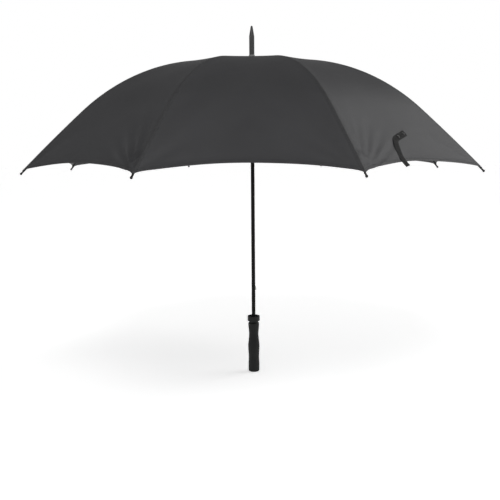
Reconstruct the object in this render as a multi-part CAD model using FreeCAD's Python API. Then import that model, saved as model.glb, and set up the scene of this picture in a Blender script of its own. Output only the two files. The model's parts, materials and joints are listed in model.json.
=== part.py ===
import FreeCAD, Part
import math
import os

# A golf umbrella, open, standing upright on its handle. Millimetres.
# +Z runs up the shaft and the origin is the centre of the handle's flat end.
# +X is the side on which the two runner catches spring out of the shaft.
# Eight ribs stand 45 degrees apart, the first one 67.5 degrees clockwise of +X.

V = FreeCAD.Vector
UP = V(0, 0, 1)
TANGENT = V(0, 1, 0)
ORIGIN = V(0, 0, 0)

# ---- Driving dimensions -------------------------------------------------
RIB_COUNT = 8
RIB_STEP = 360.0 / RIB_COUNT
HALF_STEP = RIB_STEP / 2
FIRST_RIB = -67.5

# Hinge rings at the crown and on the runner
PIVOT_R = 10.5
CROWN_PIVOT_Z = 903.0
RUNNER_PIVOT_Z = 792.64
PIN_R = 0.8
PIN_HOLE_R = 0.85
EYE_R = 2.2
SLOT_START_R = 8.1
SLOT_W = 2.8
TONGUE_T = 2.4

# Rib centreline: tangent arcs, given as lengths and the downward slope at each arc's ends
RIB_ARCS = (173.0, 177.0, 170.0, 233.0)
RIB_SLOPES = (-6.0, 6.6, 26.3, 44.1, 47.0)
ROD_R = 1.9
ROD_START_S = 20.0
SLEEVE_FIT_R = 2.6
CLIP_R = 2.5
LOWER_FLEX_S = 220.0
UPPER_FLEX_S = 430.0
SOCKET_R = 1.98
END_SLEEVE_R = 2.05
END_SLEEVE_LENGTH = 6.0
STRETCHER_S = 350.0
LUG_DROP = 11.0
ROD_END_S = 746.0
TIP_START_S = 731.0
TIP_R = 2.45
TIP_BALL_S = 750.0
TIP_BALL_R = 3.3

# Stretcher channel
CHANNEL_W = 5.2
CHANNEL_H = 3.4
CHANNEL_WALL = 1.2
CHEEK_T = 1.3
FORK_EYE_R = 2.6

# Canopy
CLOTH_T = 0.6
CLOTH_RISE = 3.2
CROWN_PEAK = 17.0
PEAK_LENGTH = 130.0
CORNER_S = 737.0
SCALLOP = 27.5
PANEL_SAG = 3.0
SEAM_GAP = 0.15
CLOTH_ROWS = 6
CLOTH_COLUMNS = 32

# Tie strap, on the panel after rib 1. A place is (length along that rib, distance across
# the panel); a heading of 0 points across towards the rib and 90 down to the hem.
STRAP_T = 1.0
STRAP_LIFT = 0.8
STRAP_W = 19.0
STRAP_START = (617.0, 232.0)
STRAP_HEADINGS = (21.0, 21.0, 66.0, 104.0)
STRAP_RUNS = (48.0, 20.0, 82.0)
SNAP_PLACES = (11.0, 41.0)
SNAP_R = 4.5
SNAP_T = 2.2
SNAP_GAP = 0.35

# Shaft, crown and ferrule
SHAFT_R = 5.5
SHAFT_BORE_R = 4.7
SHAFT_BOTTOM_Z = 12.0
SHAFT_TOP_Z = 948.0
FIT_R = 5.55
HUB_R = 13.5
CROWN_TOP_Z = 921.5
RING_BOTTOM_Z = 923.8
RING_TOP_Z = 929.4
RING_R = 8.9
FERRULE_R = 7.7
FERRULE_TAPER_Z = 984.0
FERRULE_END_Z = 1015.0
FERRULE_END_R = 2.6

# Runner
RUNNER_BORE_R = 5.7
SLEEVE_R = 11.2
SLEEVE_LENGTH = 34.0
COLLAR_R = 7.8
COLLAR_LENGTH = 22.0
RING_HALF_H = 4.0
RUNNER_RING_R = 13.0
KEYWAY_W = 3.2
KEYWAY_R = 9.7

# Catches in the shaft
CATCH_T = 2.0
CATCH_NOSE_R = 8.9
CATCH_ARM = 36.8
CATCH_NOSE_H = 14.8
CATCH_FLAT_H = 2.8
CATCH_PIN_R = 0.7
LOWER_CATCH_PIN_Z = 275.0
UPPER_CATCH_PIN_Z = 720.6
CATCH_SLOT_W = 2.6

# Handle
CUP_TOP_Z = 162.0
CUP_BOTTOM_Z = 147.0
CUP_FLOOR_Z = 148.6
CUP_R = 18.0
CUP_BORE_R = 16.3
NECK_R = 12.5
GRIP_TOP_Z = 143.0
GRIP_BOTTOM_Z = 5.0
GRIP_END_R = 16.0
GRIP_STRAIGHT_Z = 23.0
GRIP_SWELLS = ((15.1, 36.0), (16.4, 66.0), (13.6, 103.0), (15.6, 132.0))
CORE_R = 9.0
CAP_TOP_Z = 4.8
PLUG_TOP_Z = 7.8


# ---- Helpers ------------------------------------------------------------
def arc_step(r, z, start, stop, length):
    """The end of an arc of the rib centreline that leaves (r, z) with slope start."""
    a, b = math.radians(start), math.radians(stop)
    if abs(b - a) < 1e-9:
        return r + length * math.cos(a), z - length * math.sin(a)
    bend = length / (b - a)
    return r + bend * (math.sin(b) - math.sin(a)), z + bend * (math.cos(b) - math.cos(a))


def along_rib(s):
    """Radius, height and downward slope in degrees at length s along the rib."""
    r, z = PIVOT_R, CROWN_PIVOT_Z
    for length, start, end in zip(RIB_ARCS, RIB_SLOPES, RIB_SLOPES[1:]):
        used = min(s, length)
        stop = start + (end - start) * used / length
        r, z = arc_step(r, z, start, stop, used)
        s -= used
        if s <= 0:
            return r, z, stop
    return r + s * math.cos(math.radians(stop)), z - s * math.sin(math.radians(stop)), stop


def on_rib(shape, s, drop=0.0):
    """Move a shape made along +X at the origin onto the rib at length s, drop below it."""
    r, z, slope = along_rib(s)
    shape = shape.copy()
    shape.translate(V(0, 0, -drop))
    shape.rotate(ORIGIN, TANGENT, slope)
    shape.translate(V(r, 0, z))
    return shape


def at_rib(shape, number):
    """Turn a shape made in the +X half-plane to rib number 1 to 8."""
    shape = shape.copy()
    shape.rotate(ORIGIN, UP, FIRST_RIB + RIB_STEP * (number - 1))
    return shape


def cross_pin(radius, length):
    """A cylinder along Y, centred on the origin."""
    return Part.makeCylinder(radius, length, V(0, -length / 2, 0), TANGENT)


def slab(x0, x1, width, z0, z1):
    """A box centred on y = 0."""
    return Part.makeBox(x1 - x0, width, z1 - z0, V(x0, -width / 2, z0))


def ring(outer_r, inner_r, z0, z1):
    tube = Part.makeCylinder(outer_r, z1 - z0, V(0, 0, z0))
    return tube.cut(Part.makeCylinder(inner_r, z1 - z0 + 2, V(0, 0, z0 - 1)))


def plate(points, thickness):
    """A flat plate with its outline in the XZ plane, centred on y = 0."""
    corners = [V(x, -thickness / 2, z) for x, z in points]
    outline = Part.makePolygon(corners + corners[:1])
    return Part.Face(outline).extrude(V(0, thickness, 0))


def turned(points):
    """A solid of revolution about Z, from an outline of (r, z) corners."""
    corners = [V(r, 0, z) for r, z in points]
    outline = Part.makePolygon(corners + corners[:1])
    return Part.Face(outline).revolve(ORIGIN, UP, 360)


def tongue(length, height, thickness, eye_r):
    """A flat tongue along +X whose pin hole is at the origin."""
    body = slab(0, length, thickness, -height / 2, height / 2)
    body = body.fuse(cross_pin(eye_r, thickness))
    return body.cut(cross_pin(PIN_HOLE_R, thickness + 2))


def export(name, shape):
    shape.exportStep(os.path.join("parts", name + ".step"))


# ---- Ribs ---------------------------------------------------------------
def bent_rod(start_s, end_s, radius):
    """The rod between two lengths along the rib, one ring segment for each arc."""
    pieces = []
    arc_start = 0.0
    for length, slope, next_slope in zip(RIB_ARCS, RIB_SLOPES, RIB_SLOPES[1:]):
        low = max(start_s, arc_start)
        high = min(end_s, arc_start + length)
        if high > low:
            r, z, here = along_rib(low)
            bend = math.radians(next_slope - slope) / length
            angle = math.radians(here)
            tangent = V(math.cos(angle), 0, -math.sin(angle))
            centre = V(r - math.sin(angle) / bend, 0, z - math.cos(angle) / bend)
            circle = Part.makeCircle(radius, V(r, 0, z), tangent)
            face = Part.Face(Part.Wire(circle))
            pieces.append(face.revolve(centre, TANGENT, math.degrees(bend * (high - low))))
        arc_start += length
    rod = pieces[0]
    for piece in pieces[1:]:
        rod = rod.fuse(piece)
    return rod


def rod_between(start_s, end_s, round_start, socket_end):
    """A length of rib rod, with a knuckle at its start or a sleeved socket for one at its end."""
    rod = bent_rod(start_s, end_s, ROD_R)
    if round_start:
        knuckle = on_rib(cross_pin(ROD_R, 4 * ROD_R), start_s)
        rod = rod.fuse(bent_rod(start_s - 2 * ROD_R, start_s, ROD_R).common(knuckle))
    if socket_end:
        start = V(-END_SLEEVE_LENGTH, 0, 0)
        sleeve = Part.makeCylinder(END_SLEEVE_R, END_SLEEVE_LENGTH, start, V(1, 0, 0))
        rod = rod.fuse(on_rib(sleeve, end_s))
        rod = rod.cut(on_rib(cross_pin(SOCKET_R, 4 * ROD_R), end_s))
    return rod


def crown_fitting():
    """The flat eye and crimped sleeve that join a rib to the crown."""
    sleeve = Part.makeCylinder(SLEEVE_FIT_R, 16, V(12, 0, 0), V(1, 0, 0))
    return on_rib(tongue(14, 3.6, TONGUE_T, EYE_R).fuse(sleeve), 0)


def stretcher_bracket():
    """The clip on the rib that carries the stretcher's rivet."""
    clip = Part.makeCylinder(CLIP_R, 16, V(-8, 0, 0), V(1, 0, 0))
    web = plate([(-5, 0), (5, 0), (FORK_EYE_R, -LUG_DROP), (-FORK_EYE_R, -LUG_DROP)], TONGUE_T)
    eye = cross_pin(FORK_EYE_R, TONGUE_T)
    eye.translate(V(0, 0, -LUG_DROP))
    hole = cross_pin(PIN_HOLE_R, 2 * TONGUE_T)
    hole.translate(V(0, 0, -LUG_DROP))
    return on_rib(clip.fuse(web).fuse(eye).cut(hole), STRETCHER_S)


def rib_inner():
    return rod_between(ROD_START_S, LOWER_FLEX_S, False, True).fuse(crown_fitting())


def rib_middle():
    return rod_between(LOWER_FLEX_S, UPPER_FLEX_S, True, True).fuse(stretcher_bracket())


def rib_outer():
    return rod_between(UPPER_FLEX_S, ROD_END_S, True, False)


def rib_tip():
    """The moulded cap on the rib's end, which the canopy's corner is sewn to."""
    length = TIP_BALL_S - TIP_START_S
    body = Part.makeCylinder(TIP_R, length, ORIGIN, V(1, 0, 0))
    ball = Part.makeSphere(TIP_BALL_R, V(length, 0, 0))
    bore = bent_rod(TIP_START_S - 5, ROD_END_S + 0.2, ROD_R + 0.05)
    return on_rib(body.fuse(ball), TIP_START_S).cut(bore)


# ---- Stretchers ---------------------------------------------------------
def bracket_pivot():
    """Radius and height of the rivet under the rib."""
    r, z, slope = along_rib(STRETCHER_S)
    angle = math.radians(slope)
    return r - LUG_DROP * math.sin(angle), z - LUG_DROP * math.cos(angle)


def stretcher():
    """A moulded channel from the rib's bracket to the runner, forked round the bracket."""
    r, z = bracket_pivot()
    length = math.hypot(r - PIVOT_R, z - RUNNER_PIVOT_Z)
    bar = slab(9, length - 12, CHANNEL_W, -CHANNEL_H / 2, CHANNEL_H / 2)
    groove_w = CHANNEL_W - 2 * CHANNEL_WALL
    bar = bar.cut(slab(14, length - 18, groove_w, CHANNEL_WALL - CHANNEL_H / 2, CHANNEL_H))
    end = tongue(16, 3.4, TONGUE_T, EYE_R)
    end.rotate(ORIGIN, UP, 180)
    end.translate(V(length, 0, 0))
    solid = bar.fuse(end)
    for side in (-1, 1):
        cheek = slab(0, 12, CHEEK_T, -CHANNEL_H / 2, CHANNEL_H / 2)
        cheek = cheek.fuse(cross_pin(FORK_EYE_R, CHEEK_T))
        cheek.translate(V(0, side * (CHANNEL_W - CHEEK_T) / 2, 0))
        solid = solid.fuse(cheek)
    solid = solid.fuse(cross_pin(PIN_R, CHANNEL_W + 0.2)).fuse(rivet_heads())
    solid.rotate(ORIGIN, TANGENT, 180 - math.degrees(math.atan2(z - RUNNER_PIVOT_Z, r - PIVOT_R)))
    solid.translate(V(r, 0, z))
    return solid


def rivet_heads():
    """The two heads of the rivet through a stretcher's fork."""
    outer = cross_pin(1.5, CHANNEL_W + 1.2)
    return outer.cut(cross_pin(2.0, CHANNEL_W - 0.4))


# ---- Canopy -------------------------------------------------------------
def cloth_over_rib(s):
    """Radius, height and downward slope in radians of the cloth that lies on the rib."""
    r, z, slope = along_rib(s)
    angle = math.radians(slope)
    rise = CLOTH_RISE + CROWN_PEAK * max(0.0, 1 - s / PEAK_LENGTH) ** 2
    return r + rise * math.sin(angle), z + rise * math.cos(angle), angle


def cloth_point(s, across, lift):
    """A point on the canopy cloth beside a rib that lies along +X.

    s is the length along the rib, across the distance from the rib along the chord to
    the next one, and lift the height over the middle of the cloth.
    """
    r, z, angle = cloth_over_rib(s)
    half = math.radians(HALF_STEP)
    share = across / (r * math.sin(half))
    part = s / sum(RIB_ARCS)
    sag = PANEL_SAG * 1.6 * part * (1.6 - part) * (1 - (1 - share) ** 2)
    turn = half * min(share, 1)
    out = (lift - sag) * math.sin(angle)
    x = r - across * math.sin(half) + out * math.cos(turn)
    y = across * math.cos(half) + out * math.sin(turn)
    return V(x, y, z + (lift - sag) * math.cos(angle))


def cloth_patch(rows, thickness, lift):
    """A closed sheet from rows of (s, across) places, as thick as given, over the cloth."""
    faces = []
    for side in (-1, 1):
        grid = [[cloth_point(s, x, lift + side * thickness / 2) for s, x in row] for row in rows]
        surface = Part.BSplineSurface()
        surface.interpolate(grid)
        faces.append(surface.toShape())
    below, above = faces
    walls = [Part.makeRuledSurface(a, b) for a, b in zip(below.Edges, above.Edges)]
    shell = Part.makeCompound([below, above] + walls)
    shell.sewShape()
    solid = Part.Solid(Part.Shell(shell.Faces))
    if solid.Volume < 0:
        solid.reverse()
    return solid


def half_panel():
    """The cloth from a rib to the middle of the panel beside it."""
    rows = []
    for i in range(CLOTH_ROWS):
        share = i / (CLOTH_ROWS - 1)
        hem = CORNER_S - SCALLOP * (1 - (1 - share) ** 2)
        row = []
        for j in range(CLOTH_COLUMNS):
            s = hem * j / (CLOTH_COLUMNS - 1)
            half_chord = cloth_over_rib(s)[0] * math.sin(math.radians(HALF_STEP)) - SEAM_GAP
            row.append((s, half_chord * share))
        rows.append(row)
    return cloth_patch(rows, CLOTH_T, 0)


def canopy_gore():
    """The cloth on both sides of one rib."""
    right = half_panel()
    left = right.mirror(ORIGIN, TANGENT)
    return right.fuse(left)


def strap_middle(used):
    """The place and heading of the strap's middle line at a length from its sewn end."""
    s, across = STRAP_START
    for length, start, end in zip(STRAP_RUNS, STRAP_HEADINGS, STRAP_HEADINGS[1:]):
        part = min(used, length)
        heading = start + (end - start) * part / length
        mean = math.radians((start + heading) / 2)
        s += part * math.sin(mean)
        across -= part * math.cos(mean)
        used -= part
        if used <= 0:
            break
    return s, across, math.radians(heading)


def tie_strap():
    """The strap that holds the furled umbrella shut: a sewn tab that turns into a loose tail."""
    rows = []
    for offset in (-STRAP_W / 2, -STRAP_W / 6, STRAP_W / 6, STRAP_W / 2):
        row = []
        for j in range(16):
            s, across, heading = strap_middle(sum(STRAP_RUNS) * j / 15)
            row.append((s + offset * math.cos(heading), across + offset * math.sin(heading)))
        rows.append(row)
    return cloth_patch(rows, STRAP_T, STRAP_LIFT + CLOTH_T / 2 + STRAP_T / 2)


def strap_snaps():
    """The two halves of the press stud, at the ends of the strap's tab."""
    foot = STRAP_LIFT + CLOTH_T / 2 + STRAP_T + SNAP_GAP
    studs = []
    for place in SNAP_PLACES:
        s, across, _ = strap_middle(place)
        base = cloth_point(s, across, foot)
        normal = cloth_point(s, across, foot + 1) - base
        disc = Part.makeCylinder(SNAP_R, SNAP_T / 2, base, normal)
        start = base + normal * SNAP_T / 2
        studs.append(disc.fuse(Part.makeCone(SNAP_R * 0.7, SNAP_R * 0.5, SNAP_T / 2, start, normal)))
    return Part.makeCompound(studs)


# ---- Shaft, crown, ferrule ----------------------------------------------
def catch_slot(z0, z1):
    return slab(0, SHAFT_R + 1, CATCH_SLOT_W, z0, z1)


def shaft():
    """The tube, slotted for the catches and cross-drilled for their pins."""
    tube = ring(SHAFT_R, SHAFT_BORE_R, SHAFT_BOTTOM_Z, SHAFT_TOP_Z)
    lower_nose = LOWER_CATCH_PIN_Z - CATCH_ARM
    upper_nose = UPPER_CATCH_PIN_Z + CATCH_ARM
    tube = tube.cut(catch_slot(lower_nose - 1.7, lower_nose + CATCH_NOSE_H + 1.5))
    tube = tube.cut(catch_slot(upper_nose - CATCH_NOSE_H - 1.5, upper_nose + 1.7))
    for z in (LOWER_CATCH_PIN_Z, UPPER_CATCH_PIN_Z):
        pin = cross_pin(CATCH_PIN_R, 2 * SHAFT_R - 0.8)
        pin.translate(V(0, 0, z))
        tube = tube.fuse(pin)
    return tube


def catch(pin_z, way):
    """A sprung catch on its pin: way is -1 if its nose hangs below the pin, 1 if above."""
    back = -0.9
    front = 2.4
    end = way * CATCH_ARM
    nose = way * (CATCH_ARM - CATCH_NOSE_H)
    lever = plate([
        (back, 0), (front, 0), (front, nose), (5.2, nose),
        (CATCH_NOSE_R, end - way * CATCH_FLAT_H), (CATCH_NOSE_R, end), (back, end),
    ], CATCH_T)
    lever = lever.fuse(cross_pin(2.4, CATCH_T))
    lever = lever.cut(cross_pin(CATCH_PIN_R + 0.05, CATCH_T + 2))
    lever.translate(V(0, 0, pin_z))
    return lever


def hinge_slots(ring_z, z0, z1, outer_r):
    """Eight radial slots for rib or stretcher eyes."""
    slot = slab(SLOT_START_R, outer_r + 1, SLOT_W, ring_z + z0, ring_z + z1)
    slots = [at_rib(slot, number) for number in range(1, RIB_COUNT + 1)]
    return Part.makeCompound(slots)


def hinge_pins(ring_z):
    pin = cross_pin(PIN_R, SLOT_W + 1.6)
    pin.translate(V(PIVOT_R, 0, ring_z))
    return [at_rib(pin, number) for number in range(1, RIB_COUNT + 1)]


def crown():
    """The notched hub on the shaft that the eight ribs hang from, and its domed cap."""
    low = CROWN_PIVOT_Z - 7.5
    shoulder = CROWN_PIVOT_Z + 5.0
    hub = turned([
        (FIT_R, low), (HUB_R - 1, low), (HUB_R, low + 1), (HUB_R, shoulder),
        (8.4, CROWN_TOP_Z), (FIT_R, CROWN_TOP_Z),
    ])
    hub = hub.cut(hinge_slots(CROWN_PIVOT_Z, -8.5, 3.4, HUB_R))
    for pin in hinge_pins(CROWN_PIVOT_Z):
        hub = hub.fuse(pin)
    return hub


def ferrule_ring():
    """The collar that clamps the canopy's centre down on the crown."""
    return turned([
        (FIT_R, RING_BOTTOM_Z), (RING_R, RING_BOTTOM_Z), (RING_R, RING_TOP_Z - 1),
        (RING_R - 0.6, RING_TOP_Z), (FIT_R, RING_TOP_Z),
    ])


def ferrule():
    """The long pointed cap on the top of the shaft, bored for the shaft."""
    low = RING_TOP_Z + 0.1
    return turned([
        (FIT_R, low), (FERRULE_R, low), (FERRULE_R, FERRULE_TAPER_Z),
        (FERRULE_END_R + 0.4, FERRULE_END_Z - 2), (FERRULE_END_R - 0.8, FERRULE_END_Z),
        (0, FERRULE_END_Z), (0, SHAFT_TOP_Z + 1), (FIT_R, SHAFT_TOP_Z + 1),
    ])


# ---- Runner -------------------------------------------------------------
def runner():
    """The sliding sleeve with the ring that the eight stretchers are pinned to."""
    z = RUNNER_PIVOT_Z
    foot = z - SLEEVE_LENGTH
    body = turned([
        (RUNNER_BORE_R, foot), (SLEEVE_R, foot), (SLEEVE_R, foot + 6), (SLEEVE_R - 1, foot + 8),
        (SLEEVE_R - 1, z - 12), (RUNNER_RING_R, z - 8), (RUNNER_RING_R, z + RING_HALF_H),
        (COLLAR_R, z + RING_HALF_H), (COLLAR_R, z + COLLAR_LENGTH),
        (RUNNER_BORE_R, z + COLLAR_LENGTH),
    ])
    body = body.cut(hinge_slots(z, -3.4, RING_HALF_H + 1, RUNNER_RING_R))
    body = body.cut(slab(0, KEYWAY_R, KEYWAY_W, foot - 1, z + COLLAR_LENGTH + 1))
    for pin in hinge_pins(z):
        body = body.fuse(pin)
    return body


# ---- Handle -------------------------------------------------------------
def handle_core():
    """The moulded stem inside the grip, with the cup that takes the furled ribs' tips."""
    return turned([
        (0, 8), (CORE_R - 0.05, 8), (CORE_R - 0.05, GRIP_TOP_Z + 0.1), (NECK_R, GRIP_TOP_Z + 0.1),
        (NECK_R, CUP_BOTTOM_Z), (CUP_R - 1.5, CUP_BOTTOM_Z), (CUP_R, CUP_BOTTOM_Z + 1.5),
        (CUP_R, CUP_TOP_Z - 0.6), (CUP_R - 0.6, CUP_TOP_Z), (CUP_BORE_R, CUP_TOP_Z),
        (CUP_BORE_R, CUP_FLOOR_Z), (FIT_R, CUP_FLOOR_Z), (FIT_R, SHAFT_BOTTOM_Z - 0.5),
        (0, SHAFT_BOTTOM_Z - 0.5),
    ])


def handle_grip():
    """The soft grip: a straight foot, two shallow waists and a swell between them."""
    foot = V(GRIP_END_R, 0, GRIP_STRAIGHT_Z)
    shoulder = V(GRIP_END_R, 0, 139)
    top = V(GRIP_END_R - 3, 0, GRIP_TOP_Z)
    swells = [V(r, 0, z) for r, z in GRIP_SWELLS]
    curve = Part.BSplineCurve()
    curve.interpolate([foot] + swells + [shoulder], InitialTangent=UP, FinalTangent=UP)
    roll = Part.Arc(shoulder, V(GRIP_END_R - 0.8, 0, GRIP_TOP_Z - 1.2), top).toShape()
    outline = Part.makePolygon([
        top, V(CORE_R, 0, GRIP_TOP_Z), V(CORE_R, 0, GRIP_BOTTOM_Z), V(GRIP_END_R, 0, GRIP_BOTTOM_Z), foot,
    ])
    wire = Part.Wire([curve.toShape(), roll] + outline.Edges)
    return Part.Face(wire).revolve(ORIGIN, UP, 360)


def end_cap():
    """The cap that closes the grip, with a plug up inside it."""
    edge = V(GRIP_END_R - 3.1, 0, 0)
    side = V(GRIP_END_R, 0, 3.0)
    plug_r = CORE_R - 0.1
    outline = Part.makePolygon([
        side, V(GRIP_END_R, 0, CAP_TOP_Z), V(plug_r, 0, CAP_TOP_Z),
        V(plug_r, 0, PLUG_TOP_Z), V(0, 0, PLUG_TOP_Z), ORIGIN, edge,
    ])
    corner = Part.Arc(edge, V(GRIP_END_R - 0.9, 0, 0.9), side).toShape()
    return Part.Face(Part.Wire([corner] + outline.Edges)).revolve(ORIGIN, UP, 360)


# ---- Export -------------------------------------------------------------
def main():
    os.makedirs("parts", exist_ok=True)
    per_rib = {
        "rib_%d_inner": rib_inner(), "rib_%d_middle": rib_middle(), "rib_%d_outer": rib_outer(),
        "tip_%d": rib_tip(), "stretcher_%d": stretcher(), "canopy_%d": canopy_gore(),
    }
    for name, shape in per_rib.items():
        for number in range(1, RIB_COUNT + 1):
            export(name % number, at_rib(shape, number))
    export("tie_strap", at_rib(tie_strap(), 1))
    export("strap_snap", at_rib(strap_snaps(), 1))
    export("shaft", shaft())
    export("lower_catch", catch(LOWER_CATCH_PIN_Z, -1))
    export("upper_catch", catch(UPPER_CATCH_PIN_Z, 1))
    export("crown", crown())
    export("ferrule_ring", ferrule_ring())
    export("ferrule", ferrule())
    export("runner", runner())
    export("handle_core", handle_core())
    export("handle_grip", handle_grip())
    export("end_cap", end_cap())


main()
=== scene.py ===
import json
import math
import random

import bpy
import numpy as np
from mathutils import Matrix, Vector


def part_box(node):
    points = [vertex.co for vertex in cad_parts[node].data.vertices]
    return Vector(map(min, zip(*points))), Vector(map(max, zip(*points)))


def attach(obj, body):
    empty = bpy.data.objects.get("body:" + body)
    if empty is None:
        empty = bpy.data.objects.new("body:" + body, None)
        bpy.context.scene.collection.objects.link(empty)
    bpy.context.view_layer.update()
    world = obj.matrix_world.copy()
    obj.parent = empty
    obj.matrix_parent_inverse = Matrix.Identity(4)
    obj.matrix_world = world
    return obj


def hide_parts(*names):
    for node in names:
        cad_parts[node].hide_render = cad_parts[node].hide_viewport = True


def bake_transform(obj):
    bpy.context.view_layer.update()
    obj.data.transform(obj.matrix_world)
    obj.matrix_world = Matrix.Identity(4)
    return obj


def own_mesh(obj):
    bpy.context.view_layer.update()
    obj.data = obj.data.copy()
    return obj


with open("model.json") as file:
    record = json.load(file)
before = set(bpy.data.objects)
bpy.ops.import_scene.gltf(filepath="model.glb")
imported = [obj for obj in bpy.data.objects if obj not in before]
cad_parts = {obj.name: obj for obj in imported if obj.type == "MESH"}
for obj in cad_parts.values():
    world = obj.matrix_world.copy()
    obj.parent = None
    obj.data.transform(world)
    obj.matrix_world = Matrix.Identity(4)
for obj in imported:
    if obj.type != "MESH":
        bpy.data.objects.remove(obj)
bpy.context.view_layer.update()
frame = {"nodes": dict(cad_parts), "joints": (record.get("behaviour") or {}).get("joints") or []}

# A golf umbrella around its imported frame. Metres; +Z up the shaft, origin at the handle's flat end.
# "s" is the length along a rib from its crown pivot, "across" the distance from the rib along the
# chord to the next one, and "share" that distance as a part of the way to the panel's middle.

JOINTS = {joint["name"]: joint for joint in frame["joints"]}

# ---- Ribs and cloth, as in the CAD --------------------------------------
RIB_COUNT = 8
RIB_STEP = 2 * math.pi / RIB_COUNT
HALF_STEP = RIB_STEP / 2
CROWN_PIVOT = Vector(JOINTS["canopy_fold"]["pos_m"])
PIVOT_R = math.hypot(CROWN_PIVOT.x, CROWN_PIVOT.y)
PIVOT_Z = CROWN_PIVOT.z
FIRST_RIB = math.atan2(CROWN_PIVOT.y, CROWN_PIVOT.x)
RIB_ARCS = (0.173, 0.177, 0.170, 0.233)
RIB_SLOPES = (-6.0, 6.6, 26.3, 44.1, 47.0)
RIB_LENGTH = sum(RIB_ARCS)
LOWER_FLEX = 0.220
UPPER_FLEX = 0.430
CORNER = 0.737
SCALLOP = 0.0275
CORNER_PULL = 0.005
SAG = 0.003
CLOTH_RISE = 0.0032
CROWN_PEAK = 0.017
PEAK_LENGTH = 0.130
CLOTH_T = 0.0006

# ---- Cloth pieces -------------------------------------------------------
# Each zone of a gore: start and end along the rib (None is the hem), the body it rides, the rib's
# mean slope, the share of its width that is left when furled, and the flap under the zone above.
ZONES = {
    "crown": (0.0, 0.030, "root", -1.0, None, 0.0),
    "collar": (0.030, 0.060, "root", -2.7, 0.55, 0.005),
    "shoulder": (0.060, 0.110, "root", 0.2, 0.30, 0.008),
    "upper": (0.110, LOWER_FLEX, "root", 5.5, 0.15, 0.008),
    "middle": (LOWER_FLEX, 0.320, "mid", 18.0, 0.10, 0.012),
    "skirt": (0.320, UPPER_FLEX, "mid", 30.0, 0.094, 0.010),
    "lower": (UPPER_FLEX, 0.560, "end", 41.0, 0.074, 0.020),
    "edge": (0.560, None, "end", 46.0, 0.050, 0.012),
}
FLAP_DROP = 0.0009
TUCK = 0.003
CROWN_UNDERLAP = 1.25
CELL = 0.0075
ACROSS_CELLS = 26

FRONT_LEFT_RIB = 8
FRONT_RIGHT_RIB = 1


def along_rib(s):
    """Radius, height and downward slope (radians) at lengths s along the rib, as arrays."""
    s = np.asarray(s, float)
    r = np.full(s.shape, PIVOT_R)
    z = np.full(s.shape, PIVOT_Z)
    slope = np.full(s.shape, math.radians(RIB_SLOPES[0]))
    left = s.copy()
    for index, length in enumerate(RIB_ARCS):
        a = math.radians(RIB_SLOPES[index])
        bend = (math.radians(RIB_SLOPES[index + 1]) - a) / length
        last = index == len(RIB_ARCS) - 1
        used = np.clip(left, 0, None if last else length)
        stop = a + bend * used
        r += (np.sin(stop) - math.sin(a)) / bend
        z += (np.cos(stop) - math.cos(a)) / bend
        slope = np.where(left > 0, stop, slope)
        left = left - used
    return r, z, slope


def cloth(s, share, lift):
    """Points of the cloth beside a rib along +X: share is 0 on the rib and 1 at mid-panel."""
    r, z, slope = along_rib(s)
    rise = CLOTH_RISE + CROWN_PEAK * np.clip(1 - s / PEAK_LENGTH, 0, None) ** 2
    r = r + rise * np.sin(slope)
    z = z + rise * np.cos(slope)
    across = share * r * math.sin(HALF_STEP)
    part = s / RIB_LENGTH
    sag = SAG * 1.6 * part * (1.6 - part) * (1 - (1 - share) ** 2)
    turn = HALF_STEP * np.minimum(share, 1)
    out = (lift - sag) * np.sin(slope)
    x = r - across * math.sin(HALF_STEP) + out * np.cos(turn)
    y = across * math.cos(HALF_STEP) + out * np.sin(turn)
    return np.stack([x, y, z + (lift - sag) * np.cos(slope)], axis=-1)


def rib_turn(number):
    return FIRST_RIB + RIB_STEP * (number - 1)


def turned(points, angle):
    c, s = math.cos(angle), math.sin(angle)
    x, y = points[..., 0], points[..., 1]
    return np.stack([c * x - s * y, s * x + c * y, points[..., 2]], axis=-1)


def hem_at(share):
    """Length along the rib at which the cloth ends: a scallop, drawn out a little to the tip."""
    return CORNER - SCALLOP * (1 - (1 - share) ** 2) + CORNER_PULL * np.exp(-share / 0.03)


# ---- Wrinkles -----------------------------------------------------------
SWELLS = 4
SWELL_HEIGHT = 0.0007
PHASE_RANGE = 6.28
WAVE_TURN = 6.283
FOLD_REACH = 0.10
# Strength, count and phase of the strong folds at the two front corners, by panel and half.
FRONT_FOLDS = {
    (FRONT_LEFT_RIB - 1, -1): (0.0060, 4, 0.8),
    (FRONT_RIGHT_RIB, 1): (0.0060, 5, 2.2),
}


def corner_folds(s, share, across, strength, count, phase):
    """Soft folds that run out of a panel's lower corner, where the cloth is pulled to the tip."""
    along = np.clip(CORNER + 0.012 - s, 1e-4, None)
    angle = np.arctan2(across, along)
    reach = np.hypot(along, across)
    fade = np.exp(-(reach / FOLD_REACH) ** 1.6) * np.clip(reach / 0.05, 0, 1) ** 1.5
    edge = np.clip(angle / 0.18, 0, 1) ** 2
    calm_hem = 0.2 + 0.8 * np.clip((hem_at(share) - s) / 0.045, 0, 1)
    return strength * fade * edge * calm_hem * np.sin(count * angle * 2 * math.pi / 1.2 + phase)


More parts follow.
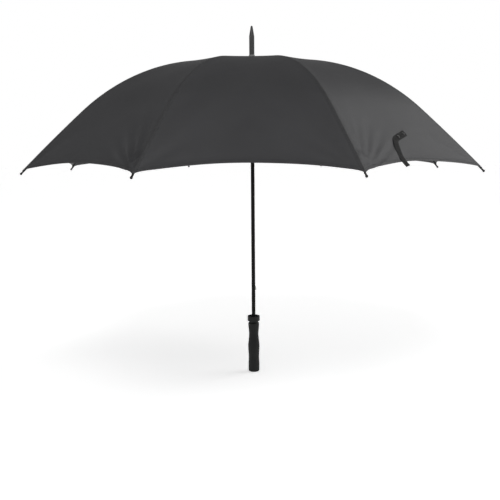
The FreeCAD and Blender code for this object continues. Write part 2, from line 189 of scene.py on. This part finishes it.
def wrinkles(panel, side, s, share, across):
    """Height of the cloth over its plain shape; the two halves of a panel meet smoothly.

    panel is the number of the rib at the panel's start. side is 1 for the half beside that
    rib and -1 for the half beside the next one.
    """
    rng = random.Random(100 + panel)
    place = side * (1 - share)
    height = np.zeros(np.shape(s))
    low = np.clip(s / CORNER, 0, 1)
    calm = (1 - (1 - share) ** 6) * low ** 2
    for _ in range(SWELLS):
        wave_s = rng.uniform(0.16, 0.34)
        wave_w = rng.uniform(0.5, 1.1)
        p, q = rng.uniform(0, PHASE_RANGE), rng.uniform(0, PHASE_RANGE)
        size = SWELL_HEIGHT * rng.uniform(0.6, 1.2)
        down = np.sin(WAVE_TURN * s / wave_s + p)
        height += size * calm * down * np.cos(WAVE_TURN * place / wave_w / 2 + q)
    for half in (1, -1):
        strength = rng.uniform(0.0008, 0.0016)
        count = rng.choice((2, 3))
        phase = rng.uniform(0, PHASE_RANGE)
        fold = FRONT_FOLDS.get((panel, half), (strength, count, phase))
        if half == side:
            height += corner_folds(s, share, across, *fold)
    return height


# ---- Mesh helpers -------------------------------------------------------
def new_object(name, vertices, faces, smooth=True):
    mesh = bpy.data.meshes.new(name)
    mesh.from_pydata([tuple(v) for v in vertices], [], [tuple(f) for f in faces])
    mesh.validate()
    mesh.polygons.foreach_set("use_smooth", [smooth] * len(mesh.polygons))
    mesh.update()
    obj = bpy.data.objects.new(name, mesh)
    bpy.context.scene.collection.objects.link(obj)
    return obj


def point_values(obj, name, values):
    attribute = obj.data.attributes.new(name, "FLOAT", "POINT")
    attribute.data.foreach_set("value", np.asarray(values, np.float32).ravel())


def grid_faces(rows, columns, offset=0, flip=False):
    faces = []
    for i in range(rows - 1):
        for j in range(columns - 1):
            a = offset + i * columns + j
            face = (a, a + 1, a + columns + 1, a + columns)
            faces.append(face[::-1] if flip else face)
    return faces


def two_sided(top, bottom, flip=False):
    """Vertices and faces of a closed sheet from two grids of points (rows, columns, 3)."""
    rows, columns = top.shape[:2]
    count = rows * columns
    vertices = np.concatenate([top.reshape(-1, 3), bottom.reshape(-1, 3)])
    faces = grid_faces(rows, columns, 0, flip) + grid_faces(rows, columns, count, not flip)
    rim = list(range(columns))
    rim += [i * columns + columns - 1 for i in range(1, rows)]
    rim += [(rows - 1) * columns + j for j in range(columns - 2, -1, -1)]
    rim += [i * columns for i in range(rows - 2, 0, -1)]
    for a, b in zip(rim, rim[1:] + rim[:1]):
        face = (b, a, a + count, b + count)
        faces.append(face[::-1] if flip else face)
    return vertices, faces


def sharpen_rim(obj, count, crease=()):
    """Keeps a sheet's thin rim, and the row of vertices crease, out of the smooth shading."""
    mesh = obj.data
    rim = {key for face in mesh.polygons for key in face.edge_keys if crosses(face, count)}
    for a, b in zip(crease, crease[1:]):
        rim.update([(a, b), (a + count, b + count)])
    sharp = mesh.attributes.new("sharp_edge", "BOOLEAN", "EDGE")
    sharp.data.foreach_set("value", [edge.key in rim for edge in mesh.edges])


def crosses(face, count):
    """Whether a face joins the first count vertices, a sheet's upper layer, to the lower one."""
    return min(face.vertices) < count <= max(face.vertices)


def lathe(name, profile, segments=96):
    """A closed turned piece about Z from (r, z) corners that start and end on the axis."""
    vertices, faces, rings = [], [], []
    for r, z in profile:
        if r < 1e-7:
            rings.append([len(vertices)])
            vertices.append((0, 0, z))
            continue
        start = len(vertices)
        rings.append(list(range(start, start + segments)))
        for k in range(segments):
            angle = 2 * math.pi * k / segments
            vertices.append((r * math.cos(angle), r * math.sin(angle), z))
    for low, high in zip(rings, rings[1:]):
        for k in range(segments):
            m = (k + 1) % segments
            if len(low) == 1 and len(high) > 1:
                faces.append((low[0], high[m], high[k]))
            elif len(high) == 1 and len(low) > 1:
                faces.append((low[k], low[m], high[0]))
            elif len(low) > 1:
                faces.append((low[k], low[m], high[m], high[k]))
    return new_object(name, vertices, faces)


# ---- Shader helpers -----------------------------------------------------
class Nodes:
    """A node tree with short calls for the nodes that this scene uses."""

    def __init__(self, tree):
        self.tree = tree

    def node(self, kind, **values):
        node = self.tree.nodes.new(kind)
        for key, value in values.items():
            setattr(node, key, value)
        return node

    def put(self, value, socket):
        if isinstance(value, bpy.types.NodeSocket):
            self.tree.links.new(value, socket)
        else:
            socket.default_value = value

    def math(self, operation, a, b=0.0):
        node = self.node("ShaderNodeMath", operation=operation)
        self.put(a, node.inputs[0])
        self.put(b, node.inputs[1])
        return node.outputs[0]

    def value(self, name):
        return self.node("ShaderNodeAttribute", attribute_name=name).outputs["Fac"]

    def vector(self, x, y, z=0.0):
        node = self.node("ShaderNodeCombineXYZ")
        for value, socket in zip((x, y, z), node.inputs):
            self.put(value, socket)
        return node.outputs[0]

    def place(self):
        return self.node("ShaderNodeTexCoord").outputs["Object"]

    def shifted(self, vector, amount):
        """The vector with the number amount added to each of its coordinates."""
        node = self.node("ShaderNodeVectorMath", operation="ADD")
        self.put(vector, node.inputs[0])
        self.put(amount, node.inputs[1])
        return node.outputs[0]

    def noise(self, vector, scale, detail=3.0, roughness=0.5):
        node = self.node("ShaderNodeTexNoise")
        self.put(vector, node.inputs["Vector"])
        node.inputs["Scale"].default_value = scale
        node.inputs["Detail"].default_value = detail
        node.inputs["Roughness"].default_value = roughness
        return node.outputs["Fac"]

    def voronoi(self, vector, scale):
        node = self.node("ShaderNodeTexVoronoi")
        self.put(vector, node.inputs["Vector"])
        node.inputs["Scale"].default_value = scale
        return node.outputs["Distance"]

    def spread(self, value, low, high, to_low=0.0, to_high=1.0, smooth=False):
        kind = "SMOOTHSTEP" if smooth else "LINEAR"
        node = self.node("ShaderNodeMapRange", interpolation_type=kind)
        self.put(value, node.inputs["Value"])
        limits = {"From Min": low, "From Max": high, "To Min": to_low, "To Max": to_high}
        for key, number in limits.items():
            node.inputs[key].default_value = number
        return node.outputs["Result"]

    def band(self, value, centre, half, soft):
        """1 where value is within half of centre, falling to 0 over soft."""
        distance = self.math("ABSOLUTE", self.math("SUBTRACT", value, centre))
        return self.spread(distance, half, half + soft, 1.0, 0.0, smooth=True)

    def mix(self, factor, a, b):
        node = self.node("ShaderNodeMix", data_type="RGBA")
        self.put(factor, node.inputs["Factor"])
        self.put(a, node.inputs[6])
        self.put(b, node.inputs[7])
        return node.outputs[2]

    def bump(self, height, strength, distance, normal=None):
        node = self.node("ShaderNodeBump")
        node.inputs["Strength"].default_value = strength
        node.inputs["Distance"].default_value = distance
        self.put(height, node.inputs["Height"])
        if normal is not None:
            self.put(normal, node.inputs["Normal"])
        return node.outputs["Normal"]


class Shader(Nodes):
    """A node material around one Principled BSDF."""

    def __init__(self, name, roughness, **sockets):
        self.material = bpy.data.materials.new(name)
        self.material.use_nodes = True
        super().__init__(self.material.node_tree)
        self.bsdf = self.tree.nodes["Principled BSDF"]
        self.bsdf.inputs["Roughness"].default_value = roughness
        for key, value in sockets.items():
            self.bsdf.inputs[key.replace("_", " ")].default_value = value

    def finish(self, colour=None, roughness=None, normal=None):
        if colour is not None:
            self.put(colour, self.bsdf.inputs["Base Color"])
        if roughness is not None:
            self.put(roughness, self.bsdf.inputs["Roughness"])
        if normal is not None:
            self.put(normal, self.bsdf.inputs["Normal"])
        return self.material


def grey(value, blue=0.0):
    return (value, value, value * (1 + blue), 1.0)


# ---- Materials ----------------------------------------------------------
WEAVE_PITCH = 0.0009
STITCH_PITCH = 0.0016
SEAM_ROWS = (0.0016, 0.0052)
HEM_ROWS = (0.0062,)
THREAD_HALF = 0.00022
FELL_EDGE = 0.0066
FOLD_EDGE = 0.0081
STRAP_ROWS = (0.0019,)
STRAP_STITCH_PITCH = 0.0014


def stitches(shader, across, along, lines, pitch):
    """Rows of stitches at the given distances across a seam: 1 on the thread."""
    dash = shader.band(shader.math("PINGPONG", along, pitch), 0.0, pitch * 0.62, pitch * 0.15)
    rows = None
    for line in lines:
        row = shader.band(across, line, THREAD_HALF, THREAD_HALF)
        rows = row if rows is None else shader.math("MAXIMUM", rows, row)
    return shader.math("MULTIPLY", rows, dash)


def canopy_cloth():
    shader = Shader("canopy_cloth", 0.45, Specular_IOR_Level=0.18)
    seam, along, hem = shader.value("seam"), shader.value("along"), shader.value("hem")
    hem_along, piece = shader.value("hem_along"), shader.value("piece")
    place = shader.vector(seam, along, piece)
    warp = shader.math("SINE", shader.math("MULTIPLY", seam, 2 * math.pi / WEAVE_PITCH))
    weft = shader.math("SINE", shader.math("MULTIPLY", along, 2 * math.pi / WEAVE_PITCH))
    weave = shader.math("MULTIPLY", warp, weft)
    slub = shader.noise(shader.vector(shader.math("MULTIPLY", seam, 8.0), along, piece), 900.0, 2.0)
    cloud = shader.noise(place, 9.0, 3.0)
    thread = shader.math("MAXIMUM", stitches(shader, seam, along, SEAM_ROWS, STITCH_PITCH),
                         stitches(shader, hem, hem_along, HEM_ROWS, STITCH_PITCH))
    fell = shader.spread(seam, 0.0060, 0.0067, 1.0, 0.0, smooth=True)
    fold = shader.spread(hem, 0.0075, 0.0083, 1.0, 0.0, smooth=True)
    doubled = shader.math("MAXIMUM", fell, fold)
    edge_line = shader.math("MAXIMUM", shader.band(seam, FELL_EDGE, 0.0002, 0.0006),
                            shader.band(hem, FOLD_EDGE, 0.0002, 0.0006))
    centre_line = shader.spread(seam, 0.0, 0.0007, 1.0, 0.0, smooth=True)
    pucker_fade = shader.math("MAXIMUM", shader.spread(seam, 0.004, 0.022, 1.0, 0.0, smooth=True),
                              shader.spread(hem, 0.005, 0.020, 1.0, 0.0, smooth=True))
    run = shader.math("ADD", along, shader.math("MULTIPLY", hem_along, 0.7))
    pucker = shader.noise(shader.vector(shader.math("MULTIPLY", seam, 0.12), run, piece), 95.0, 2.0)
    pucker = shader.math("MULTIPLY", pucker, pucker_fade)
    base = shader.mix(shader.spread(cloud, 0.3, 0.7), grey(0.0350, 0.05), grey(0.0405, 0.05))
    flecks = shader.math("MULTIPLY", shader.spread(slub, 0.35, 0.75), 0.35)
    base = shader.mix(flecks, base, grey(0.047, 0.05))
    base = shader.mix(shader.math("MULTIPLY", doubled, 0.30), base, grey(0.026, 0.05))
    base = shader.mix(shader.math("MULTIPLY", edge_line, 0.5), base, grey(0.016))
    base = shader.mix(shader.math("MULTIPLY", centre_line, 0.6), base, grey(0.015))
    base = shader.mix(shader.math("MULTIPLY", thread, 0.8), base, grey(0.055))
    rough = shader.spread(slub, 0.2, 0.8, 0.40, 0.52)
    normal = shader.bump(weave, 0.12, 0.0002)
    normal = shader.bump(pucker, 0.55, 0.0022, normal)
    normal = shader.bump(doubled, 0.7, 0.0006, normal)
    normal = shader.bump(thread, 0.8, 0.0004, normal)
    return shader.finish(base, rough, normal)


def tape_cloth():
    shader = Shader("strap_cloth", 0.8, Specular_IOR_Level=0.15)
    side, along = shader.value("side"), shader.value("along")
    ribs = shader.math("SINE", shader.math("MULTIPLY", along, 2 * math.pi / 0.0012))
    slant = shader.math("ADD", along, side)
    twill = shader.math("SINE", shader.math("MULTIPLY", slant, 2 * math.pi / 0.0008))
    edge = shader.spread(side, 0.0006, 0.0014, 1.0, 0.0, smooth=True)
    thread = stitches(shader, side, along, STRAP_ROWS, STRAP_STITCH_PITCH)
    cloud = shader.noise(shader.vector(side, along), 400.0, 3.0)
    base = shader.mix(shader.spread(cloud, 0.3, 0.7), grey(0.012), grey(0.018))
    base = shader.mix(shader.math("MULTIPLY", edge, 0.5), base, grey(0.007))
    base = shader.mix(shader.math("MULTIPLY", thread, 0.8), base, grey(0.035))
    normal = shader.bump(shader.math("MULTIPLY", ribs, twill), 0.35, 0.0004)
    normal = shader.bump(thread, 0.6, 0.0003, normal)
    return shader.finish(base, shader.spread(cloud, 0.2, 0.8, 0.68, 0.82), normal)


def moulded(name, base, rough, grain, depth, wear=0.0):
    """Moulded plastic: fine grain, faint cloudiness, and a little smoother where it is rubbed."""
    shader = Shader(name, rough, Specular_IOR_Level=0.2)
    place = shader.place()
    fine = shader.noise(place, grain, 2.0, 0.6)
    cloud = shader.noise(place, 35.0, 3.0)
    colour = shader.mix(shader.spread(cloud, 0.3, 0.7), grey(base * 0.88), grey(base * 1.15))
    roughness = shader.spread(cloud, 0.3, 0.7, rough - 0.05 - wear, rough + 0.05)
    return shader.finish(colour, roughness, shader.bump(fine, depth, 0.0003))


def grip_rubber():
    """Soft grip with a small leather-like pebble grain, painted shade in its creases and painted
    sheen in patches.
    """
    shader = Shader("grip_rubber", 0.6, Specular_IOR_Level=0.22)
    place = shader.place()
    bent = shader.math("MULTIPLY", shader.noise(place, 300.0, 2.0), 0.0016)
    pebble = shader.voronoi(shader.shifted(place, bent), 620.0)
    crease = shader.spread(pebble, 0.15, 0.62, smooth=True)
    fine = shader.noise(place, 2600.0, 2.0)
    cloud = shader.noise(place, 28.0, 3.0)
    # The grain's creases are coloured darker: painted shade.
    base = shader.mix(crease, grey(0.0105), grey(0.0055))
    # Random lighter patches of the base colour: painted sheen.
    painted_sheen = shader.math("MULTIPLY", shader.spread(cloud, 0.35, 0.7), 0.4)
    base = shader.mix(painted_sheen, base, grey(0.014))
    rough = shader.spread(cloud, 0.3, 0.7, 0.52, 0.66)
    normal = shader.bump(fine, 0.15, 0.0002)
    normal = shader.bump(shader.math("SUBTRACT", 1.0, crease), 0.6, 0.0005, normal)
    return shader.finish(base, rough, normal)


def painted_shaft():
    """Satin black paint with a faint drawn grain along the tube and rub marks from the runner."""
    shader = Shader("shaft_paint", 0.42, Specular_IOR_Level=0.08)
    place = shader.place()
    scale = shader.node("ShaderNodeMapping")
    shader.put(place, scale.inputs["Vector"])
    scale.inputs["Scale"].default_value = (1.0, 1.0, 0.02)
    streak = shader.noise(scale.outputs[0], 900.0, 3.0)
    scuff = shader.noise(place, 60.0, 5.0, 0.65)
    rub = shader.spread(scuff, 0.58, 0.72, smooth=True)
    base = shader.mix(shader.spread(streak, 0.3, 0.7), grey(0.004), grey(0.008))
    base = shader.mix(shader.math("MULTIPLY", rub, 0.2), base, grey(0.02))
    satin = shader.spread(streak, 0.3, 0.7, 0.38, 0.46)
    rough = shader.math("ADD", satin, shader.math("MULTIPLY", rub, 0.12))
    return shader.finish(base, rough, shader.bump(streak, 0.1, 0.0001))


def glass_rod():
    """Glass-fibre rod: fine lengthwise fibres under a satin resin skin."""
    shader = Shader("rib_rod", 0.38, Coat_Weight=0.15, Coat_Roughness=0.3)
    place = shader.place()
    fibre = shader.noise(place, 1400.0, 4.0, 0.7)
    cloud = shader.noise(place, 30.0, 3.0)
    base = shader.mix(shader.spread(fibre, 0.3, 0.7), grey(0.014), grey(0.024))
    rough = shader.spread(cloud, 0.3, 0.7, 0.32, 0.45)
    return shader.finish(base, rough, shader.bump(fibre, 0.15, 0.0001))


def metal(name, base, rough, metallic=1.0):
    shader = Shader(name, rough, Metallic=metallic)
    place = shader.place()
    scratch = shader.noise(place, 1100.0, 4.0, 0.7)
    tarnish = shader.noise(place, 90.0, 3.0)
    colour = shader.mix(shader.spread(tarnish, 0.3, 0.75), grey(base), grey(base * 0.72, -0.03))
    return shader.finish(colour, shader.spread(scratch, 0.3, 0.7, rough - 0.07, rough + 0.09),
                         shader.bump(scratch, 0.1, 0.0001))


def rib_point(number, s):
    r, z, slope = (float(value) for value in along_rib(s))
    angle = rib_turn(number)
    r += CLOTH_RISE * math.sin(slope)
    return Vector((r * math.cos(angle), r * math.sin(angle), z + CLOTH_RISE * math.cos(slope)))


def half_panel(number, side, zone, material):
    """One stretch of the cloth beside a rib, from the seam to the middle of the panel."""
    start, high, _, _, _, flap = ZONES[zone]
    tucked = [start - flap, start - TUCK] if flap else []
    rows = max(6, round(((high or CORNER) - start) / CELL))
    share = np.linspace(0, 1, ACROSS_CELLS + 1) ** 0.9
    if zone == "crown":
        share *= CROWN_UNDERLAP
    fraction = np.linspace(0, 1, rows + 1)[:, None]
    end = hem_at(share)[None, :] if high is None else np.full((1, len(share)), high)
    levels = [np.full((1, len(share)), level) for level in tucked]
    s = np.concatenate(levels + [start + (end - start) * fraction])
    w = np.broadcast_to(share[None, :], s.shape)
    r, _, slope = along_rib(s)
    rise = CLOTH_RISE + CROWN_PEAK * np.clip(1 - s / PEAK_LENGTH, 0, None) ** 2
    across = w * (r + rise * np.sin(slope)) * math.sin(HALF_STEP)
    panel = number if side == 1 else (number - 2) % RIB_COUNT + 1
    extra = wrinkles(panel, side, s, w, across)
    past_middle = np.clip((w - 1) / 0.05, 0, 1)
    tuck = np.maximum(np.clip((start - s) / TUCK, 0, 1), past_middle) * FLAP_DROP
    layers = []
    for lift in (CLOTH_T / 2, -CLOTH_T / 2):
        points = cloth(s, w, lift + extra - tuck)
        points[..., 1] *= side
        layers.append(turned(points, rib_turn(number)))
    vertices, faces = two_sided(layers[0], layers[1], flip=side == 1)
    name = "canopy_%d_%s_%s" % (number, "right" if side == 1 else "left", zone)
    obj = new_object(name, vertices, faces)
    first = len(tucked) * len(share)
    sharpen_rim(obj, len(vertices) // 2, range(first, first + len(share)))
    hem = (hem_at(w) - s) if high is None else np.full(s.shape, 1.0)
    for key, values in (("seam", across), ("along", s), ("hem", hem), ("hem_along", across * side)):
        point_values(obj, key, np.tile(np.asarray(values).ravel(), 2))
    point_values(obj, "piece", np.full(2 * s.size, 0.37 * panel))
    obj.data.materials.append(material)
    dress_half_panel(obj, number, zone)


def dress_half_panel(obj, number, zone):
    """Hides the CAD gore that a half-panel replaces, then bakes its place or hangs it on the body it
    rides.
    """
    start, end, part, _, keep, _ = ZONES[zone]
    body = "rib_%d_%s" % (number, part)
    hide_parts("canopy_%d" % number)
    if keep is None:
        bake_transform(obj)
    else:
        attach(obj, body)
        anchor = rib_point(number, (start + (end or CORNER)) / 2)
        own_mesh(obj)


def canopy(material):
    for number in range(1, RIB_COUNT + 1):
        for side in (1, -1):
            for zone in ZONES:
                half_panel(number, side, zone, material)


# ---- Strap --------------------------------------------------------------
STRAP_W = 0.019
STRAP_T = 0.0010
STRAP_LIFT = 0.0016
STRAP_START = (0.617, 0.232)
STRAP_HEADINGS = (21.0, 21.0, 66.0, 104.0)
STRAP_RUNS = (0.048, 0.020, 0.082)
STUD_PLACES = (0.011, 0.041)
STUD_LIFT = (0.0026, 0.0036)
STUD_R = 0.0045
STUD_T = 0.0018


def strap_middle(used):
    """Place (s, across) and heading of the strap's middle line at a length from its sewn end."""
    s, across = STRAP_START
    for length, start, end in zip(STRAP_RUNS, STRAP_HEADINGS, STRAP_HEADINGS[1:]):
        part = min(used, length)
        heading = start + (end - start) * part / length
        mean = math.radians((start + heading) / 2)
        s += part * math.sin(mean)
        across -= part * math.cos(mean)
        used -= part
        if used <= 0:
            break
    return s, across, math.radians(heading)


def strap(material):
    """The tie strap: a sewn tab, a soft turn, and a tail that hangs past the hem."""
    length = np.linspace(0, sum(STRAP_RUNS), 61)
    path = np.array([strap_middle(used) for used in length])
    offset = np.linspace(-STRAP_W / 2, STRAP_W / 2, 9)
    s = path[:, :1] + np.cos(path[:, 2:]) * offset
    across = path[:, 1:2] + np.sin(path[:, 2:]) * offset
    r, _, slope = along_rib(s)
    share = across / ((r + CLOTH_RISE * np.sin(slope)) * math.sin(HALF_STEP))
    tail = np.clip((length[:, None] - 0.10) / 0.05, 0, 1)
    curl = 0.0022 * tail ** 2 + 0.0006 * np.sin(length[:, None] * 90)
    crown = 0.0005 * (1 - (offset[None, :] / (STRAP_W / 2)) ** 2)
    layers = []
    for side in (1, -1):
        lift = STRAP_LIFT + curl + crown + side * STRAP_T / 2
        layers.append(turned(cloth(s, share, lift), rib_turn(1)))
    vertices, faces = two_sided(layers[0], layers[1])
    obj = new_object("tie_strap_tape", vertices, faces)
    sharpen_rim(obj, len(vertices) // 2)
    side_distance = np.broadcast_to(STRAP_W / 2 - np.abs(offset)[None, :], s.shape)
    along = np.broadcast_to(length[:, None], s.shape)
    point_values(obj, "side", np.tile(side_distance.ravel(), 2))
    point_values(obj, "along", np.tile(along.ravel(), 2))
    obj.data.materials.append(material)
    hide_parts("tie_strap")
    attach(obj, "strap")
    gather_strap(obj)


def snap_profile():
    """A press stud: rolled outer rim, dished ring and a raised button."""
    r, t = STUD_R, STUD_T
    rim = [(r * 0.96 + 0.04 * r * math.cos(a), 0.3 * t + 0.3 * t * math.sin(a))
           for a in np.linspace(-1.5, 1.5, 7)]
    button = [(0.5 * r, 0.35 * t), (0.5 * r, 0.8 * t), (0.42 * r, 0.95 * t), (0.2 * r, t), (0, t)]
    return [(0, 0), (r * 0.9, 0)] + rim + [(0.72 * r, 0.42 * t)] + button


def gather_strap(obj):
    """Gives a strap piece a mesh of its own."""
    anchor = Vector(turned(cloth(np.array(0.68), np.array(0.72), 0.0), rib_turn(1)))
    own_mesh(obj)


def snaps(material):
    """The two press studs, each square to the cloth under it."""
    for number, used in enumerate(STUD_PLACES, 1):
        s, across, _ = strap_middle(used)
        r, _, slope = along_rib(s)
        share = across / ((r + CLOTH_RISE * math.sin(slope)) * math.sin(HALF_STEP))
        foot, above = (turned(cloth(np.array(s), np.array(share), lift), rib_turn(1))
                       for lift in STUD_LIFT)
        obj = lathe("strap_stud_%d" % number, snap_profile(), 40)
        turn = Vector((0, 0, 1)).rotation_difference(Vector(above - foot)).to_matrix().to_4x4()
        obj.data.transform(Matrix.Translation(foot) @ turn)
        obj.data.materials.append(material)
        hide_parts("strap_snap")
        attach(obj, "strap")
        gather_strap(obj)


# ---- Handle -------------------------------------------------------------
# Radius and height of the grip's waists and swells, with a smooth curve between them.
GRIP_MARKS = ((0.0160, 0.023), (0.0153, 0.040), (0.0167, 0.0745), (0.0139, 0.109), (0.0158, 0.133),
              (0.0162, 0.139))


def grip(material):
    """The soft grip: its waists and swell, a rolled top edge and a fine line near its foot."""
    low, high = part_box("handle_grip")
    z0, z1 = low[2], high[2]
    radii, heights = np.array(GRIP_MARKS).T
    profile = [(0.0, z0), (0.0150, z0), (0.0158, z0 + 0.0002), (0.0160, z0 + 0.0010),
               (0.0160, 0.021)]
    slopes = np.gradient(radii, heights)
    slopes[0] = slopes[-1] = 0.0
    for i in range(len(GRIP_MARKS) - 1):
        j = i + 1
        span = heights[j] - heights[i]
        for t in np.linspace(0, 1, 13)[:-1]:
            a = (2 * t ** 3 - 3 * t ** 2 + 1) * radii[i]
            a += (t ** 3 - 2 * t ** 2 + t) * span * slopes[i]
            b = (3 * t ** 2 - 2 * t ** 3) * radii[j] + (t ** 3 - t ** 2) * span * slopes[j]
            profile.append((a + b, heights[i] + t * span))
    profile += [GRIP_MARKS[-1], (0.0160, 0.1405), (0.0152, 0.1418), (0.0142, z1 - 0.0003),
                (0.0130, z1), (0.0, z1)]
    obj = lathe("grip_sleeve", profile, 120)
    obj.data.materials.append(material)
    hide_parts("handle_grip")
    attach(obj, "shaft_and_handle")


# ---- Carried-over CAD nodes ---------------------------------------------
def paint(node, material):
    obj = frame["nodes"][node]
    obj.data.materials.clear()
    obj.data.materials.append(material)


def paint_nodes():
    rod = glass_rod()
    arm = moulded("stretcher_plastic", 0.020, 0.42, 900.0, 0.2)
    tip = moulded("tip_plastic", 0.016, 0.28, 1200.0, 0.1)
    body = moulded("moulded_plastic", 0.008, 0.46, 1500.0, 0.3, wear=0.05)
    for number in range(1, RIB_COUNT + 1):
        for part in ("inner", "middle", "outer"):
            paint("rib_%d_%s" % (number, part), rod)
        paint("stretcher_%d" % number, arm)
        paint("tip_%d" % number, tip)
    for node in ("crown", "runner", "handle_core", "end_cap"):
        paint(node, body)
    paint("shaft", painted_shaft())
    paint("ferrule", moulded("ferrule_plastic", 0.055, 0.33, 1100.0, 0.1, wear=0.05))
    paint("ferrule_ring", metal("ring_metal", 0.22, 0.42, 0.6))
    catches = metal("catch_steel", 0.36, 0.34)
    paint("upper_catch", catches)
    paint("lower_catch", catches)


# ---- Floor, light, camera -----------------------------------------------
WALL_TOP = math.radians(12.5)
CEILING = math.radians(19)
CEILING_LEVEL = 0.20
SOFTBOX = (math.radians(20), math.radians(38))
SOFTBOX_REACH = (math.radians(6), math.radians(26))
SOFTBOX_LEVEL = 3.2
FRONT_POWER = 52
FLOOR_GLOW = 0.55
FLOOR_REACH = 30.0
FLOOR_DROP = 0.0002
CAMERA_AZIMUTH = math.radians(0.8)
CAMERA_DISTANCE = 2.143
CAMERA_HEIGHT = 0.643
CAMERA_ROLL = math.radians(-0.4)
CAMERA_LENS = 52.4
CAMERA_SHIFT = (-0.0050, -0.1956)


def floor():
    signs = ((-1, -1), (1, -1), (1, 1), (-1, 1))
    corners = [(x * FLOOR_REACH, y * FLOOR_REACH, -FLOOR_DROP) for x, y in signs]
    obj = new_object("floor", corners, [(0, 1, 2, 3)], smooth=False)
    shader = Shader("floor_paint", 0.8, Specular_IOR_Level=0.1, Emission_Color=grey(1.0),
                    Emission_Strength=FLOOR_GLOW)
    cloud = shader.noise(shader.place(), 2.0, 2.0)
    obj.data.materials.append(shader.finish(shader.mix(cloud, grey(0.955), grey(0.965))))


def area_light(name, place, target, size, power):
    light = bpy.data.lights.new(name, "AREA")
    light.shape = "DISK"
    light.size = size
    light.energy = power
    obj = bpy.data.objects.new(name, light)
    obj.location = place
    obj.rotation_euler = (Vector(target) - Vector(place)).to_track_quat("-Z", "Y").to_euler()
    bpy.context.scene.collection.objects.link(obj)


def world_light():
    """A white studio: bright walls, a dimmer ceiling, and a large softbox high at the right."""
    world = bpy.data.worlds.new("studio")
    world.use_nodes = True
    nodes = Nodes(world.node_tree)
    background = nodes.tree.nodes["Background"]
    way = nodes.node("ShaderNodeTexCoord").outputs["Generated"]
    split = nodes.node("ShaderNodeSeparateXYZ")
    nodes.put(way, split.inputs[0])
    wall = nodes.spread(split.outputs["Z"], math.sin(WALL_TOP), math.sin(CEILING), 1.0,
                        CEILING_LEVEL, smooth=True)
    azimuth, height = SOFTBOX
    level = math.cos(height)
    aim = (math.cos(azimuth) * level, math.sin(azimuth) * level, math.sin(height))
    dot = nodes.node("ShaderNodeVectorMath", operation="DOT_PRODUCT")
    nodes.put(way, dot.inputs[0])
    nodes.put(aim, dot.inputs[1])
    inner, outer = SOFTBOX_REACH
    box = nodes.spread(dot.outputs["Value"], math.cos(outer), math.cos(inner), 0.0, SOFTBOX_LEVEL,
                       smooth=True)
    nodes.put(nodes.math("ADD", wall, box), background.inputs["Strength"])
    background.inputs["Color"].default_value = (1.0, 1.0, 1.0, 1.0)
    bpy.context.scene.world = world


def lights():
    world_light()
    area_light("front", (-0.3, -2.6, 3.2), (0, -0.2, 0.7), 1.8, FRONT_POWER)
    bpy.context.scene.view_settings.view_transform = "Standard"


def camera():
    data = bpy.data.cameras.new("camera")
    data.sensor_width = 36.0
    data.lens = CAMERA_LENS
    data.shift_x, data.shift_y = CAMERA_SHIFT
    data.clip_end = 200.0
    obj = bpy.data.objects.new("camera", data)
    a = CAMERA_AZIMUTH
    obj.location = (math.sin(a) * CAMERA_DISTANCE, -math.cos(a) * CAMERA_DISTANCE, CAMERA_HEIGHT)
    level = Matrix.Rotation(a, 3, "Z") @ Matrix.Rotation(math.pi / 2, 3, "X")
    obj.rotation_euler = (level @ Matrix.Rotation(CAMERA_ROLL, 3, "Z")).to_euler()
    bpy.context.scene.collection.objects.link(obj)
    bpy.context.scene.camera = obj


camera()
lights()
floor()
canopy(canopy_cloth())
strap(tape_cloth())
snaps(metal("snap_lacquer", 0.008, 0.4, 0.3))
grip(grip_rubber())
paint_nodes()
